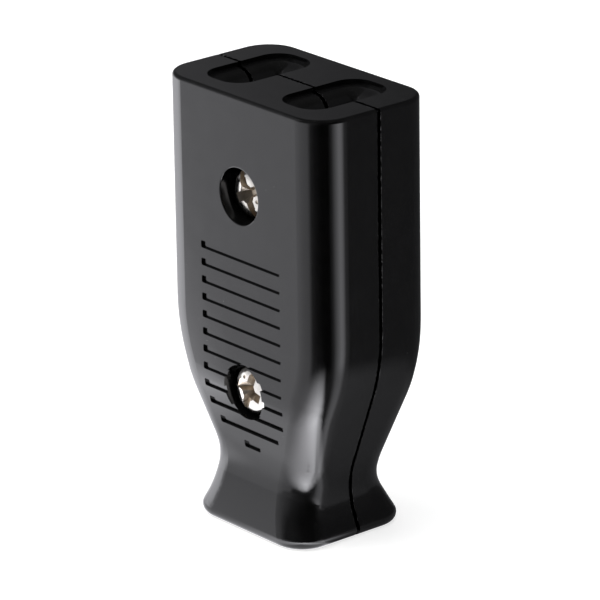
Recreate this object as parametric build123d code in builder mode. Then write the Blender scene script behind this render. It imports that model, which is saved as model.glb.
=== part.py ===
from build123d import *
import os
from math import atan2, pi, sqrt, tan

# In-line cord connector for flat two-core cord, in millimetres.
# Two moulded shells meet on the parting plane, behind the middle of the depth.
# +Z points out of the mating face, and -Y is the front, where the screws go in.
# The origin is the middle of the overall box, at the cord end.
# Depths are counted from the parting plane: to the front they are positive.

# Heights nearer than this count as the same when edges and faces are chosen
tolerance = 0.01

# Outer form
body_height = 50.68
body_half_width = 13.6
front_depth = 8.4
rear_depth = 8.0
corner_radius = 3.95
top_edge_radius = 0.4
lip_radius = 0.9

# Outline seen from the front: shoulder, neck and flared tail
side_shoulder_z = 21.03
side_shoulder_radius = 21.0
side_neck_half_width = 7.5
side_neck_z = 5.28
side_neck_radius = 8.2
side_tail_half_width = 10.05

# Front face seen from the side
front_shoulder_z = 16.43
front_shoulder_radius = 15.0
front_neck_depth = 6.7
front_neck_z = 7.93
front_neck_radius = 9.8
front_tail_depth = 8.9

# Rear face seen from the side
rear_shoulder_z = 17.5
rear_shoulder_radius = 15.0
rear_neck_depth = 5.8
rear_neck_z = 5.28
rear_neck_radius = 6.0
rear_tail_depth = 8.0

# Parting line: a narrow gap round the rims of both shells
seam_width = 0.34
seam_depth = 0.4

# Blades of the plug that goes in
pole_spacing = 12.7
blade_thickness = 1.5
blade_width = 6.3

# Openings in the mating face
slot_clearance_x = 0.5
slot_clearance_y = 0.9
slot_corner_radius = 0.3
recess_depth = 0.6
lead_in_radius = 2.3
lead_in_land = 0.05

# Grip grooves on the front
groove_count = 12
groove_pitch = 2.03
groove_height = 0.85
groove_depth = 0.3
groove_corner_radius = 0.2
groove_half_width = 6.65
groove_top_z = 32.67
groove_field_radius = 6.75

# Assembly screws and their nuts
upper_screw_z = 39.37
lower_screw_z = 16.53
screw_mouth_radius = 3.2
mouth_edge_radius = 0.15
upper_head_recess = 1.2
lower_head_recess = 0.9
upper_head_turn = 26
lower_head_turn = -19
head_radius = 2.75
head_height = 2.0
head_edge_radius = 0.45
driver_slot_width = 0.8
driver_slot_depth = 0.7
cross_reach = 3.7
cross_width = 0.85
cross_depth = 1.3
cross_taper = 12
screw_radius = 1.5
screw_length = 12.0
screw_end_chamfer = 0.3
screw_bore_clearance = 0.2
nut_across_flats = 5.5
nut_thickness = 2.4
nut_edge_chamfer = 0.2
nut_recess = 0.8
nut_clearance = 0.1
thread_clearance = 0.04

# Blade receivers, folded from strip
strip_thickness = 0.6
leaf_front_depth = 3.0
leaf_root_z = 31.0
leaf_bend_z = 37.0
leaf_pinch_z = 42.3
leaf_tip_z = 45.2
leaf_root_x = 1.3
leaf_pinch_x = 0.85
leaf_tip_x = 1.75
leaf_bend_radius = 6.0
leaf_pinch_radius = 1.2
plate_depth = -3.3
plate_bend_radius = 0.5
pad_width = 5.4
pad_height = 6.8
collar_radius = 2.6
collar_length = 1.4

# Clips that press the leaves together
clip_thickness = 0.4
clip_clearance = 0.06
clip_low_z = 33.0
clip_web_top_z = 36.5
clip_leg_top_z = 41.0
clip_leg_width = 4.6

# Terminal screws with their washers
terminal_z = 24.0
terminal_radius = 1.75
terminal_head_radius = 3.0
terminal_head_height = 2.0
terminal_head_turn = 35
terminal_length = 4.2
clamp_washer_size = 6.8
clamp_washer_thickness = 0.8
clamp_lip_thickness = 0.6
clamp_lip_length = 0.6
spring_washer_thickness = 0.8
spring_washer_slit = 0.7
washer_clearance = 0.1

# Spaces inside the shells
chamber_half_width = 2.45
chamber_low_z = 29.0
chamber_roof_z = 46.0
chamber_front_depth = 3.7
terminal_space_half_width = 4.1
terminal_space_low_z = 19.2
terminal_space_high_z = 29.5
terminal_space_front_depth = 3.7
terminal_space_rear_depth = 6.1
terminal_space_corner_radius = 1.0
barrier_half_width = 2.25
boss_radius = 3.4
core_space_depth = 2.6
core_space_low_z = 11.5
core_space_low_x = 4.3
core_space_bend_z = 15.6
core_space_bend_x = 8.0

# Cord inlet with its grip ribs
inlet_width = 8.6
inlet_depth = 4.8
inlet_flat = 0.01
inlet_overrun = 0.5
inlet_mouth_radius = 0.6
rib_height = 0.8
rib_thickness = 1.2
front_rib_heights = (5.4, 9.4)
rear_rib_heights = (7.4, 11.0)

# Locating pegs on the front shell
peg_z = 41.0
peg_radius = 1.1
peg_length = 2.4
peg_clearance = 0.1

# Values that follow from the sizes above
pole_x = pole_spacing / 2
slot_x = blade_thickness + slot_clearance_x
slot_y = blade_width + slot_clearance_y
recess_margin = lead_in_radius + lead_in_land
front_flare = atan2(front_tail_depth - front_neck_depth, front_neck_z)
front_reach = front_tail_depth + lip_radius - lip_radius / tan((pi / 2 - front_flare) / 2)
parting_y = (front_reach - rear_depth) / 2
nut_floor_depth = -(rear_depth - nut_recess - nut_thickness)
plate_rear_depth = plate_depth - strip_thickness
terminal_seat_depth = plate_depth + clamp_washer_thickness + spring_washer_thickness
screws = {
    "upper": (upper_screw_z, front_depth - upper_head_recess - head_height, upper_head_turn),
    "lower": (lower_screw_z, front_depth - lower_head_recess - head_height, lower_head_turn),
}
poles = {"left": -pole_x, "right": pole_x}
peg_x = (pole_x + chamber_half_width + body_half_width) / 2

# The parting plane faces the front, and the side plane is seen from the right
parting = Plane.XZ.offset(-parting_y)
side = Plane(origin=(0, parting_y, 0), x_dir=(0, 1, 0), z_dir=(1, 0, 0))
mating_face = Plane(origin=(0, parting_y, body_height), x_dir=(1, 0, 0), z_dir=(0, 0, 1))
tail_face = Plane(origin=(0, parting_y, 0), x_dir=(1, 0, 0), z_dir=(0, 0, 1))
wide = body_half_width + side_tail_half_width
deep = front_tail_depth + rear_tail_depth

os.makedirs("parts", exist_ok=True)


# The body's outline as seen from the right
with BuildSketch(side) as side_outline:
    with BuildLine():
        FilletPolyline(
            [
                (-front_depth, body_height),
                (-front_depth, front_shoulder_z),
                (-front_neck_depth, front_neck_z),
                (-front_tail_depth, 0),
            ],
            radius=[front_shoulder_radius, front_neck_radius],
        )
        FilletPolyline(
            [
                (rear_depth, body_height),
                (rear_depth, rear_shoulder_z),
                (rear_neck_depth, rear_neck_z),
                (rear_tail_depth, 0),
            ],
            radius=[rear_shoulder_radius, rear_neck_radius],
        )
        Line((-front_depth, body_height), (rear_depth, body_height))
        Line((-front_tail_depth, 0), (rear_tail_depth, 0))
    make_face()

# Outer body: the front outline crossed with the side outline, then rounded
with BuildPart() as body:
    with BuildSketch(parting):
        with BuildLine():
            FilletPolyline(
                [
                    (body_half_width, body_height),
                    (body_half_width, side_shoulder_z),
                    (side_neck_half_width, side_neck_z),
                    (side_tail_half_width, 0),
                ],
                radius=[side_shoulder_radius, side_neck_radius],
            )
            Line((0, body_height), (body_half_width, body_height))
            Line((side_tail_half_width, 0), (0, 0))
            mirror(about=Plane.YZ)
        make_face()
    extrude(amount=deep, both=True)
    extrude(side_outline.sketch, amount=wide, both=True, mode=Mode.INTERSECT)
    upright_edges = body.edges().filter_by(lambda e: abs((e @ 1).Z - (e @ 0).Z) > tolerance)
    fillet(upright_edges, corner_radius)
    fillet(body.faces().sort_by(Axis.Z)[-1].edges(), top_edge_radius)
    fillet(body.faces().sort_by(Axis.Z)[0].edges(), lip_radius)

# Counterbores for the screws' heads, the lower one left sharp where grooves run into it, then
# for each blade a shallow recess, a rounded lead-in and the slot itself, and the cord inlet
with BuildPart() as open_body:
    add(body.part)
    for height, seat_depth, turn in screws.values():
        with BuildSketch(parting.offset(seat_depth)):
            with Locations((0, height)):
                Circle(screw_mouth_radius)
        extrude(amount=deep, mode=Mode.SUBTRACT)
    upper_mouth_wall = open_body.faces().filter_by(
        lambda f: f.geom_type == GeomType.CYLINDER
        and abs(f.radius - screw_mouth_radius) < tolerance
        and f.center().Z > (upper_screw_z + lower_screw_z) / 2
    )
    upper_mouth_rim = upper_mouth_wall.edges().group_by(Axis.Y)[0]
    fillet(upper_mouth_rim, mouth_edge_radius)
    with BuildSketch(mating_face):
        with Locations((-pole_x, 0), (pole_x, 0)):
            RectangleRounded(
                slot_x + 2 * recess_margin,
                slot_y + 2 * recess_margin,
                slot_corner_radius + recess_margin,
            )
    extrude(amount=-recess_depth, mode=Mode.SUBTRACT)
    with BuildSketch(mating_face):
        with Locations((-pole_x, 0), (pole_x, 0)):
            RectangleRounded(slot_x, slot_y, slot_corner_radius)
    extrude(amount=chamber_roof_z - body_height, mode=Mode.SUBTRACT)
    recess_floors = open_body.faces().filter_by(
        lambda f: abs(f.center().Z - (body_height - recess_depth)) < tolerance
    )
    slot_rims = ShapeList([e for f in recess_floors for w in f.inner_wires() for e in w.edges()])
    fillet(slot_rims, lead_in_radius)
    with BuildSketch(tail_face):
        RectangleRounded(inlet_width, inlet_depth, inlet_depth / 2 - inlet_flat)
    extrude(amount=core_space_low_z + inlet_overrun, mode=Mode.SUBTRACT)
    inlet_rim = open_body.faces().sort_by(Axis.Z)[0].inner_wires()[0].edges()
    fillet(inlet_rim, inlet_mouth_radius)

# Band of air that leaves the parting line open at the rims
with BuildPart() as rear_half:
    add(open_body.part)
    split(bisect_by=parting, keep=Keep.BOTTOM)
parting_face = rear_half.faces().sort_by(Axis.Y)[0]
inner_face = offset(parting_face, amount=-seam_depth, mode=Mode.PRIVATE)
with BuildPart() as seam:
    extrude(parting_face, amount=seam_width / 2, both=True)
    extrude(inner_face, amount=seam_width, both=True, mode=Mode.SUBTRACT)

# Grip grooves, cut square to the front face down to a floor that follows it
groove_floor = offset(side_outline.sketch, amount=-groove_depth, mode=Mode.PRIVATE)
with BuildPart() as grooves:
    with BuildSketch(parting):
        for number in range(groove_count):
            groove_z = groove_top_z - groove_height / 2 - number * groove_pitch
            below_screw = max(lower_screw_z - groove_z, 0)
            reach = sqrt(groove_field_radius**2 - below_screw**2)
            with Locations((0, groove_z)):
                RectangleRounded(
                    2 * min(groove_half_width, reach), groove_height, groove_corner_radius
                )
    extrude(amount=deep)
    extrude(groove_floor, amount=wide, both=True, mode=Mode.SUBTRACT)

# Spaces for the receivers, the terminals and the cores, to the front and to the rear
spaces = {}
for half, direction, terminal_depth, receiver_depth in (
    ("front", 1, terminal_space_front_depth, chamber_front_depth),
    ("rear", -1, terminal_space_rear_depth, -plate_rear_depth),
):
    with BuildPart() as space:
        with BuildSketch(parting):
            with Locations((-pole_x, 0), (pole_x, 0)):
                with Locations((0, (chamber_low_z + chamber_roof_z) / 2)):
                    Rectangle(2 * chamber_half_width, chamber_roof_z - chamber_low_z)
        extrude(amount=direction * receiver_depth)
        with BuildSketch(parting):
            with Locations((-pole_x, 0), (pole_x, 0)):
                with Locations((0, (terminal_space_low_z + terminal_space_high_z) / 2)):
                    RectangleRounded(
                        2 * terminal_space_half_width,
                        terminal_space_high_z - terminal_space_low_z,
                        terminal_space_corner_radius,
                    )
        extrude(amount=direction * terminal_depth)
        with BuildSketch(parting):
            outer_x = pole_x + terminal_space_half_width
            core_space_high_z = terminal_space_low_z + terminal_space_corner_radius
            with BuildLine():
                Polyline(
                    (0, core_space_low_z),
                    (core_space_low_x, core_space_low_z),
                    (core_space_bend_x, core_space_bend_z),
                    (outer_x, core_space_high_z),
                    (0, core_space_high_z),
                )
                mirror(about=Plane.YZ)
            make_face()
            with Locations((0, lower_screw_z)):
                Circle(boss_radius, mode=Mode.SUBTRACT)
            with Locations((0, terminal_space_low_z)):
                Rectangle(2 * barrier_half_width, 2 * boss_radius, mode=Mode.SUBTRACT)
        extrude(amount=direction * core_space_depth)
    spaces[half] = space.part

# Screw holes: bores, and pockets for the nuts
with BuildPart() as screw_holes:
    for height, seat_depth, turn in screws.values():
        with BuildSketch(parting):
            with Locations((0, height)):
                Circle(screw_radius + screw_bore_clearance)
        extrude(amount=deep, both=True)
        with BuildSketch(parting.offset(nut_floor_depth)):
            with Locations((0, height)):
                RegularPolygon(nut_across_flats / 2 + nut_clearance, 6, major_radius=False)
        extrude(amount=-deep)

# Ribs across the cord inlet, staggered from one half to the other
ribs = {}
for half, direction, heights in (("front", 1, front_rib_heights), ("rear", -1, rear_rib_heights)):
    with BuildPart() as rib_row:
        with BuildSketch(parting.offset(direction * inlet_depth / 2)):
            for height in heights:
                with Locations((0, height)):
                    Rectangle(inlet_width, rib_thickness)
        extrude(amount=-direction * rib_height)
    ribs[half] = rib_row.part

# Front shell, with the grooves, the screws' counterbores and the locating pegs
with BuildPart() as front_shell:
    add(open_body.part)
    add(grooves.part, mode=Mode.SUBTRACT)
    split(bisect_by=parting, keep=Keep.TOP)
    add(seam.part, mode=Mode.SUBTRACT)
    add(spaces["front"], mode=Mode.SUBTRACT)
    add(screw_holes.part, mode=Mode.SUBTRACT)
    add(ribs["front"])
    with BuildSketch(parting):
        with Locations((-peg_x, peg_z), (peg_x, peg_z)):
            Circle(peg_radius)
    extrude(amount=-peg_length)

# Rear shell, with the nut pockets and the holes for the pegs
with BuildPart() as rear_shell:
    add(open_body.part)
    split(bisect_by=parting, keep=Keep.BOTTOM)
    add(seam.part, mode=Mode.SUBTRACT)
    add(spaces["rear"], mode=Mode.SUBTRACT)
    add(screw_holes.part, mode=Mode.SUBTRACT)
    add(ribs["rear"])
    with BuildSketch(parting):
        with Locations((-peg_x, peg_z), (peg_x, peg_z)):
            Circle(peg_radius + peg_clearance)
    extrude(amount=-peg_length - peg_clearance, mode=Mode.SUBTRACT)

for shell, name in ((front_shell, "front_shell"), (rear_shell, "rear_shell")):
    shell.part.label = name
    export_step(shell.part, f"parts/{name}.step")


def make_screw(seat, centre, head, height, shank, length, turn):
    """Make a screw with a slot and a cross recess, its head in front of the seat plane."""
    with BuildPart() as screw:
        with BuildSketch(seat):
            with Locations(centre):
                Circle(head)
        extrude(amount=height)
        fillet(screw.edges().sort_by(Axis.Y)[0], head_edge_radius)
        with BuildSketch(seat):
            with Locations(centre):
                Circle(shank)
        extrude(amount=-length)
        chamfer(screw.edges().sort_by(Axis.Y)[-1], screw_end_chamfer)
        with BuildSketch(seat.offset(height)):
            with Locations(centre):
                Rectangle(driver_slot_width, 2 * head, rotation=turn)
        extrude(amount=-driver_slot_depth, mode=Mode.SUBTRACT)
        with BuildSketch(seat.offset(height)):
            with Locations(centre):
                Rectangle(cross_reach, cross_width, rotation=turn)
                Rectangle(cross_width, cross_reach, rotation=turn)
        extrude(amount=-cross_depth, taper=cross_taper, mode=Mode.SUBTRACT)
    return screw.part


# Assembly screws, each with its nut
for name, (height, seat_depth, turn) in screws.items():
    screw = make_screw(
        parting.offset(seat_depth),
        (0, height),
        head_radius,
        head_height,
        screw_radius,
        screw_length,
        turn,
    )
    screw.label = f"assembly_screw_{name}"
    export_step(screw, f"parts/assembly_screw_{name}.step")

    with BuildPart() as nut:
        with BuildSketch(parting.offset(nut_floor_depth)):
            with Locations((0, height)):
                RegularPolygon(nut_across_flats / 2, 6, major_radius=False)
                Circle(screw_radius + thread_clearance, mode=Mode.SUBTRACT)
        extrude(amount=-nut_thickness)
        chamfer(nut.edges().filter_by(GeomType.CIRCLE), nut_edge_chamfer)
    nut.part.label = f"nut_{name}"
    export_step(nut.part, f"parts/nut_{name}.step")

# Receivers, clips and terminals of both poles
for name, x in poles.items():
    # A plate against the rear shell carries two leaves and the tapped terminal pad
    with BuildPart() as contact:
        plate_half_width = leaf_root_x + strip_thickness / 2
        with BuildSketch(parting.offset(plate_depth)):
            with Locations((x, (terminal_z + leaf_bend_z) / 2)):
                Rectangle(2 * plate_half_width, leaf_bend_z - terminal_z)
            with Locations((x, terminal_z)):
                Rectangle(pad_width, pad_height)
        extrude(amount=-strip_thickness)
        for hand in (-1, 1):
            with BuildSketch(parting.offset(plate_depth)):
                with BuildLine():
                    FilletPolyline(
                        [
                            (x + hand * leaf_root_x, leaf_root_z),
                            (x + hand * leaf_root_x, leaf_bend_z),
                            (x + hand * leaf_pinch_x, leaf_pinch_z),
                            (x + hand * leaf_tip_x, leaf_tip_z),
                        ],
                        radius=[leaf_bend_radius, leaf_pinch_radius],
                    )
                trace(line_width=strip_thickness)
            extrude(amount=leaf_front_depth - plate_depth)
        rear_edges = contact.edges().filter_by(Axis.Z).group_by(Axis.Y)[-1]
        fillet(rear_edges.sort_by(SortBy.LENGTH)[-2:], plate_bend_radius)
        with BuildSketch(parting.offset(plate_rear_depth)):
            with Locations((x, terminal_z)):
                Circle(collar_radius)
        extrude(amount=-collar_length)
        with BuildSketch(parting):
            with Locations((x, terminal_z)):
                Circle(terminal_radius + thread_clearance)
        extrude(amount=deep, both=True, mode=Mode.SUBTRACT)
    contact.part.label = f"contact_{name}"
    export_step(contact.part, f"parts/contact_{name}.step")

    # A steel clip reaches round the front of the leaves
    with BuildPart() as clip:
        leg_offset = (strip_thickness + clip_thickness) / 2 + clip_clearance
        leg_x = leaf_root_x + leg_offset
        leaf_lean = (leaf_root_x - leaf_pinch_x) / (leaf_pinch_z - leaf_bend_z)
        leg_top_x = leg_x - leaf_lean * (clip_leg_top_z - leaf_bend_z)
        web_depth = leaf_front_depth + clip_clearance
        with BuildSketch(parting.offset(web_depth)):
            with Locations((x, (clip_low_z + clip_web_top_z) / 2)):
                Rectangle(2 * leg_x + clip_thickness, clip_web_top_z - clip_low_z)
        extrude(amount=clip_thickness)
        for hand in (-1, 1):
            with BuildSketch(parting.offset(web_depth)):
                with BuildLine():
                    FilletPolyline(
                        [
                            (x + hand * leg_x, clip_low_z),
                            (x + hand * leg_x, leaf_bend_z),
                            (x + hand * leg_top_x, clip_leg_top_z),
                        ],
                        radius=leaf_bend_radius,
                    )
                trace(line_width=clip_thickness)
            extrude(amount=-clip_leg_width)
    clip.part.label = f"contact_spring_{name}"
    export_step(clip.part, f"parts/contact_spring_{name}.step")

    # A square washer straddles the pad, so that it can't turn
    with BuildPart() as clamp_washer:
        with BuildSketch(parting.offset(plate_depth)):
            with Locations((x, terminal_z)):
                Rectangle(clamp_washer_size, clamp_washer_size)
        extrude(amount=clamp_washer_thickness)
        with BuildSketch(parting.offset(plate_depth)):
            lip_x = (clamp_washer_size - clamp_lip_thickness) / 2
            with Locations((x - lip_x, terminal_z), (x + lip_x, terminal_z)):
                Rectangle(clamp_lip_thickness, clamp_washer_size)
        extrude(amount=-clamp_lip_length)
        with BuildSketch(parting):
            with Locations((x, terminal_z)):
                Circle(terminal_radius + washer_clearance)
        extrude(amount=-deep, mode=Mode.SUBTRACT)
    clamp_washer.part.label = f"terminal_clamp_washer_{name}"
    export_step(clamp_washer.part, f"parts/terminal_clamp_washer_{name}.step")

    with BuildPart() as spring_washer:
        with BuildSketch(parting.offset(plate_depth + clamp_washer_thickness)):
            with Locations((x, terminal_z)):
                Circle(terminal_head_radius)
                Circle(terminal_radius + washer_clearance, mode=Mode.SUBTRACT)
            with Locations((x, terminal_z - terminal_head_radius)):
                Rectangle(spring_washer_slit, 2 * terminal_head_radius, mode=Mode.SUBTRACT)
        extrude(amount=spring_washer_thickness)
    spring_washer.part.label = f"terminal_spring_washer_{name}"
    export_step(spring_washer.part, f"parts/terminal_spring_washer_{name}.step")

    terminal_screw = make_screw(
        parting.offset(terminal_seat_depth),
        (x, terminal_z),
        terminal_head_radius,
        terminal_head_height,
        terminal_radius,
        terminal_length,
        terminal_head_turn,
    )
    terminal_screw.label = f"terminal_screw_{name}"
    export_step(terminal_screw, f"parts/terminal_screw_{name}.step")
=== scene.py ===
import bmesh
import bpy
from math import cos, pi, radians, sin, sqrt
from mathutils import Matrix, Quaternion, Vector


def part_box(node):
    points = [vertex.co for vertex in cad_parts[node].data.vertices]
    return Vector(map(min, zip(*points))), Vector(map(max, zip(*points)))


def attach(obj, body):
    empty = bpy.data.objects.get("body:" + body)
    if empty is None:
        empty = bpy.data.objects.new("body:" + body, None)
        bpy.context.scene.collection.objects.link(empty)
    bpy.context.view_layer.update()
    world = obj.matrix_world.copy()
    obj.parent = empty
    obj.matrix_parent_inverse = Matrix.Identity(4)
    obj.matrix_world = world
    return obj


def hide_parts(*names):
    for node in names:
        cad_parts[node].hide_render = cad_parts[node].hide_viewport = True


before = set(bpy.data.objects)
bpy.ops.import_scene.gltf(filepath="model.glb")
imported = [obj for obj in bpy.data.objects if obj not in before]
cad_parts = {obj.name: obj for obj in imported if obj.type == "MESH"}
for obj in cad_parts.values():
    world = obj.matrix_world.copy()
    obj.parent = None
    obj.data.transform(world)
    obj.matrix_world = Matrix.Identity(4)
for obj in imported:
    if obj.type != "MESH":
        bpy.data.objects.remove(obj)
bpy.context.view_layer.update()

mm = 0.001
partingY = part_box("rear_shell")[0].y    # the two shells meet here
print("frame loaded:", len(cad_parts), "pieces")

bpy.context.scene.view_settings.view_transform = "Standard"


# Camera, as fitted to corners and edges of the photo
cameraSet = {
    "azimuth": 50.018,
    "elevation": 20.165,
    "roll": -0.015216,
    "distance": 551.9 * mm,
    "aimHeight": 25.47 * mm,
    "focalPixels": 5006.1,
    "frameWidth": 600,
    "sensor": 36.0,
    "shift": (0.00077, -0.0017),
    "clip": (0.01, 20),
}


def setCamera(s):
    turn, lift = radians(s["azimuth"]), radians(s["elevation"])
    back = Vector((sin(turn) * cos(lift), -cos(turn) * cos(lift), sin(lift)))
    aim = Vector((0, partingY, s["aimHeight"]))
    camera = bpy.data.cameras.new("camera")
    camera.sensor_width = s["sensor"]
    camera.lens = s["focalPixels"] / s["frameWidth"] * s["sensor"]
    camera.shift_x, camera.shift_y = s["shift"]
    camera.clip_start, camera.clip_end = s["clip"]
    holder = bpy.data.objects.new("camera", camera)
    bpy.context.scene.collection.objects.link(holder)
    holder.rotation_mode = "QUATERNION"
    holder.location = aim + back * s["distance"]
    holder.rotation_quaternion = back.to_track_quat("Z", "Y") @ Quaternion((0, 0, 1), s["roll"])
    bpy.context.scene.camera = holder


setCamera(cameraSet)
print("camera placed")


def deselectAll():
    for each in bpy.context.selected_objects:
        each.select_set(False)


def pick(piece):
    deselectAll()
    piece.select_set(True)
    bpy.context.view_layer.objects.active = piece


# Small helpers for node trees
def addNode(tree, kind, **values):
    made = tree.nodes.new(kind)
    for name, value in values.items():
        setattr(made, name, value)
    return made


def plug(tree, value, socket):
    if isinstance(value, (int, float, tuple)):
        socket.default_value = value
    else:
        tree.links.new(value, socket)


def mathNode(tree, what, first, second=None, clamp=False):
    made = addNode(tree, "ShaderNodeMath", operation=what, use_clamp=clamp)
    plug(tree, first, made.inputs[0])
    if second is not None:
        plug(tree, second, made.inputs[1])
    return made.outputs[0]


def rangeNode(tree, value, low, high, outLow=0.0, outHigh=1.0):
    made = addNode(tree, "ShaderNodeMapRange", clamp=True)
    for socket, given in zip(made.inputs, (value, low, high, outLow, outHigh)):
        plug(tree, given, socket)
    return made.outputs["Result"]


def noiseNode(tree, place, scale, detail=2.0, rough=0.5):
    made = addNode(tree, "ShaderNodeTexNoise")
    plug(tree, place, made.inputs["Vector"])
    plug(tree, scale, made.inputs["Scale"])
    made.inputs["Detail"].default_value = detail
    made.inputs["Roughness"].default_value = rough
    return made.outputs["Fac"]


def mapNode(tree, place, shift=(0, 0, 0), turn=(0, 0, 0), scale=(1, 1, 1)):
    made = addNode(tree, "ShaderNodeMapping")
    plug(tree, place, made.inputs["Vector"])
    made.inputs["Location"].default_value = shift
    made.inputs["Rotation"].default_value = turn
    made.inputs["Scale"].default_value = scale
    return made.outputs["Vector"]


def mixColours(tree, share, first, second):
    made = addNode(tree, "ShaderNodeMix", data_type="RGBA")
    plug(tree, share, made.inputs["Factor"])
    plug(tree, first, made.inputs["A"])
    plug(tree, second, made.inputs["B"])
    return made.outputs["Result"]


def startMaterial(name):
    made = bpy.data.materials.new(name)
    made.use_nodes = True
    return made, made.node_tree


# Stage: pale floor and backdrop, a ring of graded light that only gloss sees, two soft lamps
stageSet = {
    "floorSize": 10.0,
    "backdropRadius": 4.0,
    "backdropHeight": 3.0,
    "paleColour": (0.5, 0.5, 0.5, 1),
    "paleCamera": 0.74,         # added for the camera, where 1 is white
    "paleMirror": 0.55,         # added for what mirrors it
    "worldSoft": 0.25,
    "ringRadius": 0.34,
    "ringHeight": 0.40,
    "ringLift": 0.1 * mm,
    "roundSteps": 96,
    "ringMiddle": (10 * mm, -4 * mm),
    "nearFrom": 30 * mm,
    "nearTo": 42 * mm,
    "lidGlow": 0.05,
    "wallFrom": 42 * mm,
    "wallTo": 105 * mm,
    "brightest": 4.0,
    "footGlow": (17 * mm, -14 * mm),
    "footGlowRadius": 24 * mm,
    "footGlowStrength": 8.5,
    "footGlowFade": 2.0,
    "footHalf": (9.3 * mm, 7.9 * mm),
    "footShade": (0.3 * mm, 1.5 * mm),
    "glowBorder": (8.5 * mm, 12.5 * mm),    # x + y, where the glow ends on the right
    "tint": (0.985, 0.985, 1.03, 1),
}
# Strength of the ring's light by compass angle, counted from +X towards +Y. The first values came
# from a scratch program's reading of the photo's brightness. They were then rounded, thinned and
# tuned
farStops = (
    (-180, 1.6), (-168, 2.6), (-158, 3.4), (-152, 3.5), (-146, 1.34), (-138, 1.22), (-124, 1.15),
    (-92, 1.0), (-81, 0.2), (-66, 0.06), (-48, 0.0), (-26, 0.0), (-16, 0.25), (-6, 1.15),
    (9, 2.5), (17, 2.0), (26, 0.42), (38, 0.13), (104, 0.06), (136, 0.3), (160, 0.85), (180, 1.6),
)
nearStops = (
    (-180, 1.3), (-150, 1.5), (-112, 1.3), (-90, 1.5), (-58, 3.0), (-46, 2.4), (-38, 0.05),
    (-16, 0.2), (0, 1.3), (14, 1.5), (28, 0.5), (60, 0.24), (110, 0.13), (140, 0.4), (180, 1.4),
)
wallLowStops = (
    (-180, 1.2), (-154, 1.65), (-142, 0.85), (-120, 0.7), (-88, 0.5), (-70, 0.25), (-44, 0.06),
    (-20, 0.0), (0, 0.02), (20, 0.17), (44, 0.11), (100, 0.05), (134, 0.06), (146, 0.18), (180, 1.2),
)
wallHighStops = (
    (-180, 0.12), (-150, 0.2), (-137, 0.45), (-112, 0.1), (-80, 0.12), (-44, 0.02), (0, 0.02),
    (40, 0.1), (128, 0.03), (136, 0.05), (145, 0.17), (154, 0.09), (180, 0.12),
)


def palePaint(s):
    made, tree = startMaterial("palePaint")
    tree.nodes.clear()
    out = addNode(tree, "ShaderNodeOutputMaterial")
    matt = addNode(tree, "ShaderNodeBsdfDiffuse")
    matt.inputs["Color"].default_value = s["paleColour"]
    glow = addNode(tree, "ShaderNodeEmission")
    path = addNode(tree, "ShaderNodeLightPath")
    mirrored = mathNode(tree, "MAXIMUM", path.outputs["Is Glossy Ray"], path.outputs["Is Transmission Ray"])
    forCamera = mathNode(tree, "MULTIPLY", path.outputs["Is Camera Ray"], s["paleCamera"])
    forMirror = mathNode(tree, "MULTIPLY", mirrored, s["paleMirror"])
    plug(tree, mathNode(tree, "ADD", forCamera, forMirror), glow.inputs["Strength"])
    both = addNode(tree, "ShaderNodeAddShader")
    plug(tree, matt.outputs[0], both.inputs[0])
    plug(tree, glow.outputs[0], both.inputs[1])
    plug(tree, both.outputs[0], out.inputs["Surface"])
    return made


def makeFloor(s, paint):
    deselectAll()
    bpy.ops.mesh.primitive_plane_add(size=s["floorSize"])
    floor = bpy.context.object
    floor.name = "paleFloor"
    floor.data.materials.append(paint)
    deselectAll()
    bpy.ops.mesh.primitive_cylinder_add(
        vertices=s["roundSteps"], radius=s["backdropRadius"], depth=s["backdropHeight"],
        end_fill_type="NOTHING", location=(0, 0, s["backdropHeight"] / 2),
    )
    backdrop = bpy.context.object
    backdrop.name = "paleBackdrop"
    backdrop.data.materials.append(paint)


def compassLight(tree, place, s, stops):
    made = addNode(tree, "ShaderNodeTexGradient", gradient_type="RADIAL")
    centre = (-s["ringMiddle"][0], -s["ringMiddle"][1], 0)
    plug(tree, mapNode(tree, place, centre), made.inputs["Vector"])
    ramp = addNode(tree, "ShaderNodeValToRGB")
    plug(tree, made.outputs["Fac"], ramp.inputs["Fac"])
    stopList = ramp.color_ramp.elements
    stopList.remove(stopList[0])
    for number, (angle, strength) in enumerate(stops):
        where = (angle + 180) / 360
        stop = stopList[0] if number == 0 else stopList.new(where)
        stop.position = where
        grey = strength / s["brightest"]
        stop.color = (grey, grey, grey, 1)
    return mathNode(tree, "MULTIPLY", ramp.outputs["Color"], s["brightest"])


def startGlow(name):
    made, tree = startMaterial(name)
    tree.nodes.clear()
    out = addNode(tree, "ShaderNodeOutputMaterial")
    glow = addNode(tree, "ShaderNodeEmission")
    plug(tree, glow.outputs[0], out.inputs["Surface"])
    return made, tree, glow


def awayFrom(tree, place, spot):
    away = addNode(tree, "ShaderNodeVectorMath", operation="LENGTH")
    plug(tree, mapNode(tree, place, (-spot[0], -spot[1], 0)), away.inputs[0])
    return away.outputs["Value"]


def separate(tree, place):
    parts = addNode(tree, "ShaderNodeSeparateXYZ")
    plug(tree, place, parts.inputs[0])
    return parts.outputs


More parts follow.
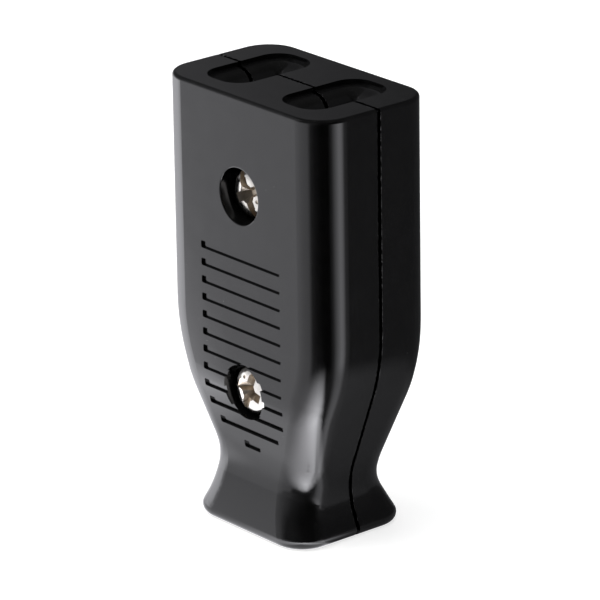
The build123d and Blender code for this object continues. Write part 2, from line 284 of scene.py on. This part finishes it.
def footGlow(tree, place, s):
    share = rangeNode(tree, awayFrom(tree, place, s["footGlow"]), 0, s["footGlowRadius"], 1, 0)
    share = mathNode(tree, "POWER", share, s["footGlowFade"])
    parts = separate(tree, place)
    slanted = mathNode(tree, "ADD", parts["X"], parts["Y"])
    share = mathNode(tree, "MULTIPLY", share, rangeNode(tree, slanted, *s["glowBorder"], 1, 0))
    beyond = [
        mathNode(tree, "SUBTRACT", mathNode(tree, "ABSOLUTE", parts[axis]), half)
        for axis, half in zip("XY", s["footHalf"])
    ]
    outside = rangeNode(tree, mathNode(tree, "MAXIMUM", *beyond), *s["footShade"])
    share = mathNode(tree, "MULTIPLY", share, outside)
    return mathNode(tree, "MULTIPLY", share, s["footGlowStrength"])


def ringMaterial(s, name, lowStops, highStops, onWall):
    made, tree, glow = startGlow(name)
    place = addNode(tree, "ShaderNodeTexCoord").outputs["Object"]
    if onWall:
        share = rangeNode(tree, separate(tree, place)["Z"], s["wallFrom"], s["wallTo"])
    else:
        share = rangeNode(tree, awayFrom(tree, place, s["ringMiddle"]), s["nearFrom"], s["nearTo"])
    mix = addNode(tree, "ShaderNodeMix", data_type="FLOAT")
    plug(tree, share, mix.inputs["Factor"])
    plug(tree, compassLight(tree, place, s, lowStops), mix.inputs["A"])
    plug(tree, compassLight(tree, place, s, highStops), mix.inputs["B"])
    strength = mix.outputs["Result"]
    if not onWall:
        strength = mathNode(tree, "ADD", strength, footGlow(tree, place, s))
    glow.inputs["Color"].default_value = s["tint"]
    plug(tree, strength, glow.inputs["Strength"])
    return made


def lidMaterial(s):
    made, tree, glow = startGlow("ringLid")
    glow.inputs["Strength"].default_value = s["lidGlow"]
    return made


def seenInMirrorOnly(card):
    card.visible_camera = False
    card.visible_diffuse = False
    card.visible_shadow = False
    card.visible_transmission = False
    card.visible_volume_scatter = False


def finishCard(name, material):
    card = bpy.context.object
    card.name = name
    bpy.ops.object.transform_apply(location=True, rotation=True, scale=True)
    card.data.materials.append(material)
    seenInMirrorOnly(card)


def makeDisc(s, name, height, material):
    deselectAll()
    bpy.ops.mesh.primitive_circle_add(
        vertices=s["roundSteps"], radius=s["ringRadius"], fill_type="NGON", location=(0, 0, height),
    )
    finishCard(name, material)


def makeRing(s):
    makeDisc(s, "ringSheet", s["ringLift"], ringMaterial(s, "ringSheet", nearStops, farStops, False))
    deselectAll()
    bpy.ops.mesh.primitive_cylinder_add(
        vertices=s["roundSteps"], radius=s["ringRadius"], depth=s["ringHeight"],
        end_fill_type="NOTHING", location=(0, 0, s["ringHeight"] / 2),
    )
    finishCard("ringWall", ringMaterial(s, "ringWall", wallLowStops, wallHighStops, True))
    makeDisc(s, "ringLid", s["ringHeight"], lidMaterial(s))


def setWorld(s):
    world = bpy.data.worlds.new("studio")
    bpy.context.scene.world = world
    world.use_nodes = True
    world.node_tree.nodes["Background"].inputs["Color"].default_value = (1, 1, 1, 1)
    world.node_tree.nodes["Background"].inputs["Strength"].default_value = s["worldSoft"]


lampSet = (
    {
        "name": "overheadSoftbox", "azimuth": -120, "lift": 80, "distance": 1.0,
        "size": (0.8, 0.8), "power": 9.0,
    },
    {
        "name": "leftSoftbox", "azimuth": -140, "lift": 32, "distance": 0.95,
        "size": (0.9, 0.5), "power": 5.0,
    },
)


def hangLamp(s):
    lamp = bpy.data.lights.new(s["name"], "AREA")
    lamp.shape = "RECTANGLE"
    lamp.size, lamp.size_y = s["size"]
    lamp.energy = s["power"]
    holder = bpy.data.objects.new(s["name"], lamp)
    bpy.context.scene.collection.objects.link(holder)
    turn, rise = radians(s["azimuth"]), radians(s["lift"])
    away = Vector((cos(turn) * cos(rise), sin(turn) * cos(rise), sin(rise)))
    holder.location = away * s["distance"]
    holder.rotation_mode = "QUATERNION"
    holder.rotation_quaternion = away.to_track_quat("Z", "Y")
    holder.visible_glossy = False    # the ring is what the gloss shows


makeFloor(stageSet, palePaint(stageSet))
makeRing(stageSet)
setWorld(stageSet)
for each in lampSet:
    hangLamp(each)
print("stage set")


# Shared effects, each a node group that puts out masks and heights
def startGroup(name, inputs, outputs):
    group = bpy.data.node_groups.new(name, "ShaderNodeTree")
    for label, value in inputs.items():
        kind = "NodeSocketVector" if value is None else "NodeSocketFloat"
        socket = group.interface.new_socket(label, in_out="INPUT", socket_type=kind)
        if value is not None:
            socket.default_value = value
    for label in outputs:
        group.interface.new_socket(label, in_out="OUTPUT", socket_type="NodeSocketFloat")
    return group, addNode(group, "NodeGroupInput").outputs, addNode(group, "NodeGroupOutput").inputs


effectSet = {
    "grainDetail": (2.0, 0.6),       # detail and roughness of the noise
    "cloudShare": 0.09,              # fineness of the clouds, as a share of the grain's
    "cloudDetail": (3.0, 0.55),
    "scratchTurns": ((0.1, 0.3, 0.5), (1.2, 0.4, -0.9)),
    "scratchStretch": (1, 12, 1),
    "scratchDetail": (1.0, 0.4),
    "scratchLevel": 0.5,             # value of the noise along a scratch
    "scratchHalf": 0.006,
    "patchFineness": 130.0,
    "patchLimits": (0.8, 0.35),      # at density 0 and at density 1
    "patchEdge": 0.1,
    "speckEdge": (0.06, 0.12),
}


def grainGroup(s):
    group, given, out = startGroup("surfaceGrain", {"Place": None, "Fineness": 4000.0}, ("Height", "Cloud"))
    slow = mathNode(group, "MULTIPLY", given["Fineness"], s["cloudShare"])
    plug(group, noiseNode(group, given["Place"], given["Fineness"], *s["grainDetail"]), out["Height"])
    plug(group, noiseNode(group, given["Place"], slow, *s["cloudDetail"]), out["Cloud"])
    return group


def scratchGroup(s):
    inputs = {"Place": None, "Density": 0.5, "Fineness": 260.0}
    group, given, out = startGroup("fineScratches", inputs, ("Mask",))
    sets = []
    for turn in s["scratchTurns"]:
        stretched = mapNode(group, given["Place"], turn=turn, scale=s["scratchStretch"])
        lines = noiseNode(group, stretched, given["Fineness"], *s["scratchDetail"])
        distance = mathNode(group, "ABSOLUTE", mathNode(group, "SUBTRACT", lines, s["scratchLevel"]))
        sets.append(rangeNode(group, distance, 0.0, s["scratchHalf"], 1.0, 0.0))
    mask = mathNode(group, "MAXIMUM", *sets)
    patches = noiseNode(group, given["Place"], s["patchFineness"])
    limit = rangeNode(group, given["Density"], 0.0, 1.0, *s["patchLimits"])
    kept = rangeNode(group, mathNode(group, "SUBTRACT", patches, limit), 0.0, s["patchEdge"])
    plug(group, mathNode(group, "MULTIPLY", mask, kept), out["Mask"])
    return group


def dustGroup(s):
    group, given, out = startGroup("dustSpecks", {"Place": None, "Amount": 0.3, "Size": 1500.0}, ("Mask",))
    cells = addNode(group, "ShaderNodeTexVoronoi", feature="F1")
    plug(group, given["Place"], cells.inputs["Vector"])
    plug(group, given["Size"], cells.inputs["Scale"])
    speck = rangeNode(group, cells.outputs["Distance"], *s["speckEdge"], 1.0, 0.0)
    chance = addNode(group, "ShaderNodeSeparateColor")
    plug(group, cells.outputs["Color"], chance.inputs[0])
    kept = mathNode(group, "LESS_THAN", chance.outputs[0], given["Amount"])
    plug(group, mathNode(group, "MULTIPLY", speck, kept), out["Mask"])
    return group


sharedGroups = {
    "grain": grainGroup(effectSet),
    "scratches": scratchGroup(effectSet),
    "dust": dustGroup(effectSet),
}


def useGroup(tree, name, place, **values):
    made = addNode(tree, "ShaderNodeGroup", node_tree=sharedGroups[name])
    plug(tree, place, made.inputs["Place"])
    for label, value in values.items():
        made.inputs[label].default_value = value
    return made.outputs


# Moulded black plastic, with painted shade in the gap along the parting line, painted glints beside it, and
# edges softened by bump
plasticSet = {
    "colour": (0.0030, 0.0030, 0.0031, 1),
    "clouded": (0.0046, 0.0046, 0.0047, 1),
    "dust": (0.035, 0.034, 0.032, 1),
    "roughness": (0.10, 0.135),
    "scratchedRoughness": 0.30,
    # colour of the painted glints beside the seam
    "glintColour": (0.10, 0.10, 0.10, 1),
    "index": 1.5,
    "fineness": 5200.0,
    "grainBump": 0.05,
    "grainDepth": 0.02 * mm,
    "dustAmount": 0.05,
    "scratchDensity": 0.30,
    "seamHalf": 0.17 * mm,
    "seamRound": 0.15 * mm,
    "gapShade": (0.04 * mm, 0.12 * mm),
    "gapNoise": (2600.0, 0.35, 0.65),        # fineness of the noise, and the part of it that is used
    "glintNoise": (1900.0, 0.50, 0.64),
    "unevenNoise": (1700.0, 0.45, 0.60),
    "cloudRange": (0.42, 0.70),
    "smoothRange": (0.3, 0.7),
}


def noiseShare(tree, place, noise, low=0.0, high=1.0):
    return rangeNode(tree, noiseNode(tree, place, noise[0]), noise[1], noise[2], low, high)


def plasticMaterial(name, s, towardsRear):
    made, tree = startMaterial(name)
    shader = tree.nodes["Principled BSDF"]
    place = addNode(tree, "ShaderNodeTexCoord").outputs["Object"]
    grain = useGroup(tree, "grain", place, Fineness=s["fineness"])
    marks = useGroup(tree, "scratches", place, Density=s["scratchDensity"])
    dust = useGroup(tree, "dust", place, Amount=s["dustAmount"])
    clouds = rangeNode(tree, grain["Cloud"], *s["cloudRange"])
    plastic = mixColours(tree, clouds, s["colour"], s["clouded"])
    plastic = mixColours(tree, dust["Mask"], plastic, s["dust"])
    # painted shade: the gap at the parting line, and a ragged strip past it, is black and metallic so it
    # mirrors nothing; beside it go specks of painted glint
    fromSeam = mathNode(tree, "SUBTRACT", separate(tree, place)["Y"], partingY)
    if not towardsRear:
        fromSeam = mathNode(tree, "MULTIPLY", fromSeam, -1.0)
    ragged = noiseShare(tree, place, s["gapNoise"], *s["gapShade"])
    # painted shade between the shells: black base colour and full metallic inside this mask
    paintedGapShade = mathNode(tree, "LESS_THAN", fromSeam, mathNode(tree, "ADD", ragged, s["seamHalf"]))
    nearGap = rangeNode(tree, fromSeam, s["seamHalf"], s["seamHalf"] + s["seamRound"], 1.0, 0.0)
    besideGap = mathNode(tree, "SUBTRACT", nearGap, paintedGapShade, clamp=True)
    # painted glints: light grey specks, in noise, along the edge beside the gap
    paintedGlints = mathNode(tree, "MULTIPLY", noiseShare(tree, place, s["glintNoise"]), besideGap)
    plastic = mixColours(tree, paintedGlints, plastic, s["glintColour"])
    plug(tree, mixColours(tree, paintedGapShade, plastic, (0, 0, 0, 1)), shader.inputs["Base Color"])
    plug(tree, paintedGapShade, shader.inputs["Metallic"])
    smooth = rangeNode(tree, grain["Cloud"], *s["smoothRange"], *s["roughness"])
    rough = addNode(tree, "ShaderNodeMix", data_type="FLOAT")
    plug(tree, mathNode(tree, "MAXIMUM", marks["Mask"], dust["Mask"]), rough.inputs["Factor"])
    plug(tree, smooth, rough.inputs["A"])
    rough.inputs["B"].default_value = s["scratchedRoughness"]
    plug(tree, rough.outputs["Result"], shader.inputs["Roughness"])
    shader.inputs["IOR"].default_value = s["index"]
    fine = addNode(tree, "ShaderNodeBump")
    fine.inputs["Strength"].default_value = s["grainBump"]
    fine.inputs["Distance"].default_value = s["grainDepth"]
    plug(tree, grain["Height"], fine.inputs["Height"])
    # the edges of that gap are slightly round, and a little uneven along their run
    uneven = noiseShare(tree, place, s["unevenNoise"])
    edge = rangeNode(tree, fromSeam, s["seamHalf"], s["seamHalf"] + s["seamRound"])
    edge = mathNode(tree, "MULTIPLY", mathNode(tree, "SUBTRACT", edge, 1.0), uneven)
    rounded = addNode(tree, "ShaderNodeBump")
    rounded.inputs["Strength"].default_value = 1.0
    rounded.inputs["Distance"].default_value = s["seamRound"] / 2
    plug(tree, edge, rounded.inputs["Height"])
    plug(tree, fine.outputs["Normal"], rounded.inputs["Normal"])
    plug(tree, rounded.outputs["Normal"], shader.inputs["Normal"])
    return made


# Metals: bright nickel for screws and nuts, copper alloy for the contacts, spring steel for clips
metalSets = {
    "brightNickel": {
        "colour": (0.74, 0.72, 0.68, 1), "dull": (0.50, 0.47, 0.42, 1), "roughness": (0.14, 0.24),
        "fineness": 3600.0, "grainBump": 0.10, "scratches": 0.85, "dust": 0.03, "stretch": (1, 1, 1),
    },
    "recessNickel": {
        "colour": (0.66, 0.59, 0.50, 1), "dull": (0.30, 0.25, 0.19, 1), "roughness": (0.34, 0.50),
        "fineness": 5200.0, "grainBump": 0.30, "scratches": 0.5, "dust": 0.10, "stretch": (1, 1, 1),
    },
    "platedNut": {
        "colour": (0.74, 0.72, 0.68, 1), "dull": (0.52, 0.50, 0.46, 1), "roughness": (0.24, 0.36),
        "fineness": 3000.0, "grainBump": 0.14, "scratches": 0.7, "dust": 0.04, "stretch": (1, 1, 1),
    },
    "contactAlloy": {
        "colour": (0.78, 0.55, 0.30, 1), "dull": (0.52, 0.33, 0.17, 1), "roughness": (0.26, 0.40),
        "fineness": 2600.0, "grainBump": 0.16, "scratches": 0.8, "dust": 0.04, "stretch": (1, 1, 0.08),
    },
    "springSteel": {
        "colour": (0.50, 0.51, 0.54, 1), "dull": (0.30, 0.29, 0.30, 1), "roughness": (0.28, 0.42),
        "fineness": 2800.0, "grainBump": 0.14, "scratches": 0.6, "dust": 0.04, "stretch": (1, 1, 0.1),
    },
}


# What all the metals share: film, scratches and dust
metalShared = {
    "scratchFineness": 700.0,
    "scratchedRougher": 0.15,
    "scratchDepth": 0.6,
    "dustSize": 2600.0,
    "dustFilm": 0.8,
    "filmRange": (0.40, 0.72),
    "smoothRange": (0.3, 0.7),
    "grainDepth": 0.02 * mm,
}


def metalMaterial(name, s):
    shared = metalShared
    made, tree = startMaterial(name)
    shader = tree.nodes["Principled BSDF"]
    shader.inputs["Metallic"].default_value = 1.0
    place = addNode(tree, "ShaderNodeTexCoord").outputs["Object"]
    rolled = mapNode(tree, place, scale=s["stretch"])
    grain = useGroup(tree, "grain", rolled, Fineness=s["fineness"])
    marks = useGroup(tree, "scratches", place, Density=s["scratches"], Fineness=shared["scratchFineness"])
    dust = useGroup(tree, "dust", place, Amount=s["dust"], Size=shared["dustSize"])
    film = rangeNode(tree, grain["Cloud"], *shared["filmRange"])
    film = mathNode(tree, "MAXIMUM", film, mathNode(tree, "MULTIPLY", dust["Mask"], shared["dustFilm"]))
    plug(tree, mixColours(tree, film, s["colour"], s["dull"]), shader.inputs["Base Color"])
    rough = rangeNode(tree, grain["Cloud"], *shared["smoothRange"], *s["roughness"])
    rougher = mathNode(tree, "MULTIPLY", marks["Mask"], shared["scratchedRougher"])
    rough = mathNode(tree, "ADD", rough, rougher)
    plug(tree, rough, shader.inputs["Roughness"])
    sunk = mathNode(tree, "MULTIPLY", marks["Mask"], shared["scratchDepth"])
    height = mathNode(tree, "SUBTRACT", grain["Height"], sunk)
    bump = addNode(tree, "ShaderNodeBump")
    bump.inputs["Strength"].default_value = s["grainBump"]
    bump.inputs["Distance"].default_value = shared["grainDepth"]
    plug(tree, height, bump.inputs["Height"])
    plug(tree, bump.outputs["Normal"], shader.inputs["Normal"])
    return made


metals = {name: metalMaterial(name, s) for name, s in metalSets.items()}
plastics = {
    "front_shell": plasticMaterial("frontPlastic", plasticSet, False),
    "rear_shell": plasticMaterial("rearPlastic", plasticSet, True),
}


def finishNode(name, material):
    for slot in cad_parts[name].material_slots:
        slot.material = material


for name, material in plastics.items():
    finishNode(name, material)
for hand in ("left", "right"):
    finishNode(f"contact_{hand}", metals["contactAlloy"])
    finishNode(f"contact_spring_{hand}", metals["springSteel"])
    finishNode(f"terminal_spring_washer_{hand}", metals["springSteel"])
    finishNode(f"terminal_clamp_washer_{hand}", metals["platedNut"])
print("shells and contacts finished")


# Screws and nuts are made in millimetres about +Z, which faces the screwdriver. Then they are
# scaled and turned to the front
makingSet = {
    "mergeWithin": 0.001,
    "lastMergeWithin": 0.0005,
    "cutWithin": 0.0001,
    "threadSteps": 24,
    "threadFlat": 0.12,       # share of the pitch that the crest takes
    "spareTurns": 4,
    "turnsBelow": 2,
    "smoothAngle": 32,
    "clearOf": 0.3,           # how far a cutting form reaches past the face that it cuts
}


def drawLine(name, points):
    deselectAll()
    bpy.ops.mesh.primitive_plane_add(size=1, location=(points[0][0], 0, points[0][1]))
    piece = bpy.context.object
    piece.name = name
    bpy.ops.object.transform_apply(location=True, rotation=True, scale=True)
    bpy.ops.object.mode_set(mode="EDIT")
    bpy.ops.mesh.select_all(action="SELECT")
    bpy.ops.mesh.merge(type="CENTER")
    for before, after in zip(points, points[1:]):
        step = (after[0] - before[0], 0, after[1] - before[1])
        bpy.ops.mesh.extrude_region_move(TRANSFORM_OT_translate={"value": step})
    return piece


def latheForm(name, points, steps):
    piece = drawLine(name, points)
    bpy.ops.mesh.select_all(action="SELECT")
    bpy.ops.mesh.spin(steps=steps, angle=2 * pi, center=(0, 0, 0), axis=(0, 0, 1))
    bpy.ops.mesh.select_all(action="SELECT")
    bpy.ops.mesh.remove_doubles(threshold=makingSet["mergeWithin"])
    bpy.ops.mesh.normals_make_consistent(inside=False)
    bpy.ops.object.mode_set(mode="OBJECT")
    return piece


def threadedRod(name, root, crest, pitch, top, bottom):
    flat = pitch * makingSet["threadFlat"]
    rise = (pitch - flat) / 2
    line = [(root, 0), (crest, rise), (crest, rise + flat), (root, pitch)]
    piece = drawLine(name, line)
    bpy.ops.object.mode_set(mode="OBJECT")
    winding = piece.modifiers.new("winding", "SCREW")
    winding.axis = "Z"
    winding.steps = winding.render_steps = makingSet["threadSteps"]
    winding.screw_offset = pitch
    winding.iterations = int((top - bottom) / pitch) + makingSet["spareTurns"]
    bpy.ops.object.modifier_apply(modifier="winding")
    piece.location = (0, 0, bottom - makingSet["turnsBelow"] * pitch)
    bpy.ops.object.transform_apply(location=True, rotation=True, scale=True)
    bpy.ops.object.mode_set(mode="EDIT")
    bpy.ops.mesh.select_all(action="SELECT")
    bpy.ops.mesh.remove_doubles(threshold=makingSet["mergeWithin"])
    for height, inner, outer in ((top, False, True), (bottom, True, False)):
        bpy.ops.mesh.select_all(action="SELECT")
        bpy.ops.mesh.bisect(
            plane_co=(0, 0, height), plane_no=(0, 0, 1), use_fill=True,
            clear_inner=inner, clear_outer=outer, threshold=makingSet["cutWithin"],
        )
    bpy.ops.mesh.select_all(action="SELECT")
    bpy.ops.mesh.normals_make_consistent(inside=False)
    bpy.ops.object.mode_set(mode="OBJECT")
    return piece


def combine(piece, other, what):
    pick(piece)
    joined = piece.modifiers.new(what, "BOOLEAN")
    joined.operation = what
    joined.solver = "EXACT"
    joined.material_mode = "TRANSFER"
    joined.object = other
    bpy.ops.object.modifier_apply(modifier=what)
    bpy.data.objects.remove(other, do_unlink=True)


def taperedBar(name, width, reach, depth, narrowing, above):
    deselectAll()
    bpy.ops.mesh.primitive_cube_add(size=1, location=(0, 0, (above - depth) / 2))
    bar = bpy.context.object
    bar.name = name
    bar.scale = (width, reach, depth + above)
    bpy.ops.object.transform_apply(location=True, rotation=True, scale=True)
    bpy.ops.object.mode_set(mode="EDIT")
    bpy.ops.mesh.select_all(action="DESELECT")
    bpy.ops.object.mode_set(mode="OBJECT")
    for face in bar.data.polygons:
        face.select = face.normal.z < -0.5
    bpy.ops.object.mode_set(mode="EDIT")
    bpy.ops.transform.resize(value=(narrowing[0], narrowing[1], 1))
    bpy.ops.object.mode_set(mode="OBJECT")
    bar.data.materials.append(metals["recessNickel"])
    return bar


screwShared = {
    "headHeight": 2.0, "crown": 0.75, "crownSteps": 8, "headSteps": 64, "seatRound": 0.08,
    "point": 0.3, "pointInHead": 0.3, "pointClear": 0.05, "pointSteps": 32,
    "rodInHead": 0.17, "rodPast": 0.4,
    "slotWidth": 0.85, "slotDepth": 0.75, "slotPast": 0.5, "slotNarrowing": (0.9, 1),
    "crossReach": 3.9, "crossWidth": 1.15, "crossDepth": 1.35, "crossNarrowing": (0.45, 0.42),
    "armAbove": 0.05, "armStagger": 0.013,    # the two arms' faces never share a plane
    "pitRadius": 1.1, "pitDepth": 1.5, "pitSide": 0.12, "pitSteps": 24,
    "dotRadius": 0.34, "dotSink": 0.14, "dotSegments": 20, "dotRings": 12,
}
screwSets = {
    "assembly": {
        "headRadius": 2.75, "flatRadius": 1.2, "crest": 1.5, "root": 1.22, "pitch": 0.5,
        "dotPlace": 1.72, **screwShared,
    },
    "terminal": {
        "headRadius": 3.0, "flatRadius": 1.4, "crest": 1.75, "root": 1.42, "pitch": 0.6,
        "dotPlace": 1.9, **screwShared,
    },
}


def makeScrew(name, s, length, dotAngle):
    crownWidth = s["headRadius"] - s["flatRadius"]
    arc = [
        (s["flatRadius"] + crownWidth * sin(a), -s["crown"] * (1 - cos(a)))
        for a in (pi / 2 / s["crownSteps"] * number for number in range(s["crownSteps"] + 1))
    ]
    seat = -s["headHeight"]
    line = [(0, 0)] + arc + [
        (s["headRadius"], seat + s["seatRound"]), (s["headRadius"] - s["seatRound"], seat), (0, seat),
    ]
    screw = latheForm(name, line, s["headSteps"])
    screw.data.materials.append(metals["brightNickel"])
    end = seat - length
    rodTop, rodBottom = seat + s["rodInHead"], end - s["rodPast"]
    rod = threadedRod("rod", s["root"], s["crest"], s["pitch"], rodTop, rodBottom)
    rod.data.materials.append(metals["brightNickel"])
    pointTop, pointWide = seat + s["pointInHead"], s["crest"] + s["pointClear"]
    pointForm = [
        (0, pointTop), (pointWide, pointTop), (pointWide, end + s["point"]),
        (s["crest"] - s["point"], end), (0, end),
    ]
    point = latheForm("point", pointForm, s["pointSteps"])
    combine(rod, point, "INTERSECT")
    combine(screw, rod, "UNION")
    slotReach = 2 * (s["headRadius"] + s["slotPast"])
    above = makingSet["clearOf"]
    slot = taperedBar("slot", s["slotWidth"], slotReach, s["slotDepth"], s["slotNarrowing"], above)
    combine(screw, slot, "DIFFERENCE")
    for turned, deeper in ((0, 0), (pi / 2, s["armStagger"])):
        depth, rise = s["crossDepth"] + deeper, s["armAbove"] + deeper
        bar = taperedBar("arm", s["crossWidth"], s["crossReach"], depth, s["crossNarrowing"], rise)
        bar.rotation_euler = (0, 0, turned)
        pick(bar)
        bpy.ops.object.transform_apply(location=False, rotation=True, scale=False)
        combine(screw, bar, "DIFFERENCE")
    pitForm = [
        (0, above), (s["pitRadius"], above), (s["pitRadius"], -s["pitSide"]), (0, -s["pitDepth"]),
    ]
    pit = latheForm("pit", pitForm, s["pitSteps"])
    pit.data.materials.append(metals["recessNickel"])
    combine(screw, pit, "DIFFERENCE")
    deselectAll()
    bpy.ops.mesh.primitive_uv_sphere_add(
        segments=s["dotSegments"], ring_count=s["dotRings"], radius=s["dotRadius"],
        location=(
            s["dotPlace"] * cos(dotAngle),
            s["dotPlace"] * sin(dotAngle),
            s["dotRadius"] - s["dotSink"],
        ),
    )
    dot = bpy.context.object
    bpy.ops.object.transform_apply(location=True, rotation=True, scale=True)
    dot.data.materials.append(metals["recessNickel"])
    combine(screw, dot, "DIFFERENCE")
    return screw


nutSet = {
    "acrossFlats": 5.5, "thickness": 2.4, "faceRadius": 2.6, "chamfer": 0.35,
    "boreRoot": 1.54, "boreCrest": 1.74, "pitch": 0.5, "borePast": 0.5,
    "countersink": 0.3, "countersinkDepth": 0.35, "countersinkWider": 0.12, "countersinkPast": 0.1,
    "cornerClear": 0.1, "chamferClear": 0.05, "cornerCount": 6, "roundSteps": 48, "countersinkSteps": 32,
}


def makeNut(name, s):
    half = s["thickness"] / 2
    corner = s["acrossFlats"] / sqrt(3)
    deselectAll()
    # the corners lie to the left and right, as in the rear shell's pockets
    bpy.ops.mesh.primitive_cylinder_add(
        vertices=s["cornerCount"], radius=corner, depth=s["thickness"],
        rotation=(0, 0, pi / s["cornerCount"]),
    )
    nut = bpy.context.object
    nut.name = name
    bpy.ops.object.transform_apply(location=True, rotation=True, scale=True)
    nut.data.materials.append(metals["platedNut"])
    wide, low = corner + s["cornerClear"], s["chamfer"] + s["chamferClear"] - half
    rounding = [
        (0, half), (s["faceRadius"], half), (wide, -low), (wide, low), (s["faceRadius"], -half), (0, -half),
    ]
    combine(nut, latheForm("rounding", rounding, s["roundSteps"]), "INTERSECT")
    boreEnd = half + s["borePast"]
    bore = threadedRod("bore", s["boreRoot"], s["boreCrest"], s["pitch"], boreEnd, -boreEnd)
    combine(nut, bore, "DIFFERENCE")
    mouth = s["boreCrest"] + s["countersinkWider"]
    for side in (1, -1):
        outer, inner = side * (half + s["countersinkPast"]), side * (half - s["countersinkDepth"])
        cone = [(0, outer), (mouth, outer), (mouth - s["countersink"], inner), (0, inner)]
        combine(nut, latheForm("countersink", cone, s["countersinkSteps"]), "DIFFERENCE")
    return nut


def reportSolid(piece):
    shape = bmesh.new()
    shape.from_mesh(piece.data)
    openEdges = sum(1 for edge in shape.edges if not edge.is_manifold)
    print(piece.name, "volume", round(shape.calc_volume(), 2), "open edges", openEdges)
    shape.free()


def smoothByAngle(piece):
    pick(piece)
    bpy.ops.object.mode_set(mode="EDIT")
    bpy.ops.mesh.select_all(action="SELECT")
    bpy.ops.mesh.remove_doubles(threshold=makingSet["lastMergeWithin"])
    bpy.ops.object.mode_set(mode="OBJECT")
    bpy.ops.object.shade_smooth_by_angle(angle=radians(makingSet["smoothAngle"]))
    reportSolid(piece)


def placePiece(piece, node, turn, atFront):
    low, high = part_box(node)
    middle = (low + high) / 2
    piece.rotation_mode = "QUATERNION"
    piece.rotation_quaternion = Quaternion((1, 0, 0), pi / 2) @ Quaternion((0, 0, 1), turn)
    piece.location = (middle.x, low.y if atFront else middle.y, middle.z)
    piece.scale = (mm, mm, mm)
    pick(piece)
    bpy.ops.object.transform_apply(location=True, rotation=True, scale=True)
    piece.rotation_mode = "XYZ"
    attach(piece, "root")
    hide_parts(node)


# Lengths in millimetres, angles in degrees as seen from the front
screwPlaces = {
    "assembly_screw_upper": {"kind": "assembly", "length": 12.0, "turn": 26, "dotAngle": -19},
    "assembly_screw_lower": {"kind": "assembly", "length": 12.0, "turn": -19, "dotAngle": 118},
    "terminal_screw_left": {"kind": "terminal", "length": 4.2, "turn": 35, "dotAngle": 60},
    "terminal_screw_right": {"kind": "terminal", "length": 4.2, "turn": 35, "dotAngle": 60},
}
for node, s in screwPlaces.items():
    dotAngle = radians(s["dotAngle"] - s["turn"])
    screw = makeScrew(f"{node}_piece", screwSets[s["kind"]], s["length"], dotAngle)
    smoothByAngle(screw)
    placePiece(screw, node, radians(s["turn"]), True)
print("screws made")

for node in ("nut_upper", "nut_lower"):
    nut = makeNut(f"{node}_piece", nutSet)
    smoothByAngle(nut)
    placePiece(nut, node, 0, False)
print("nuts made")
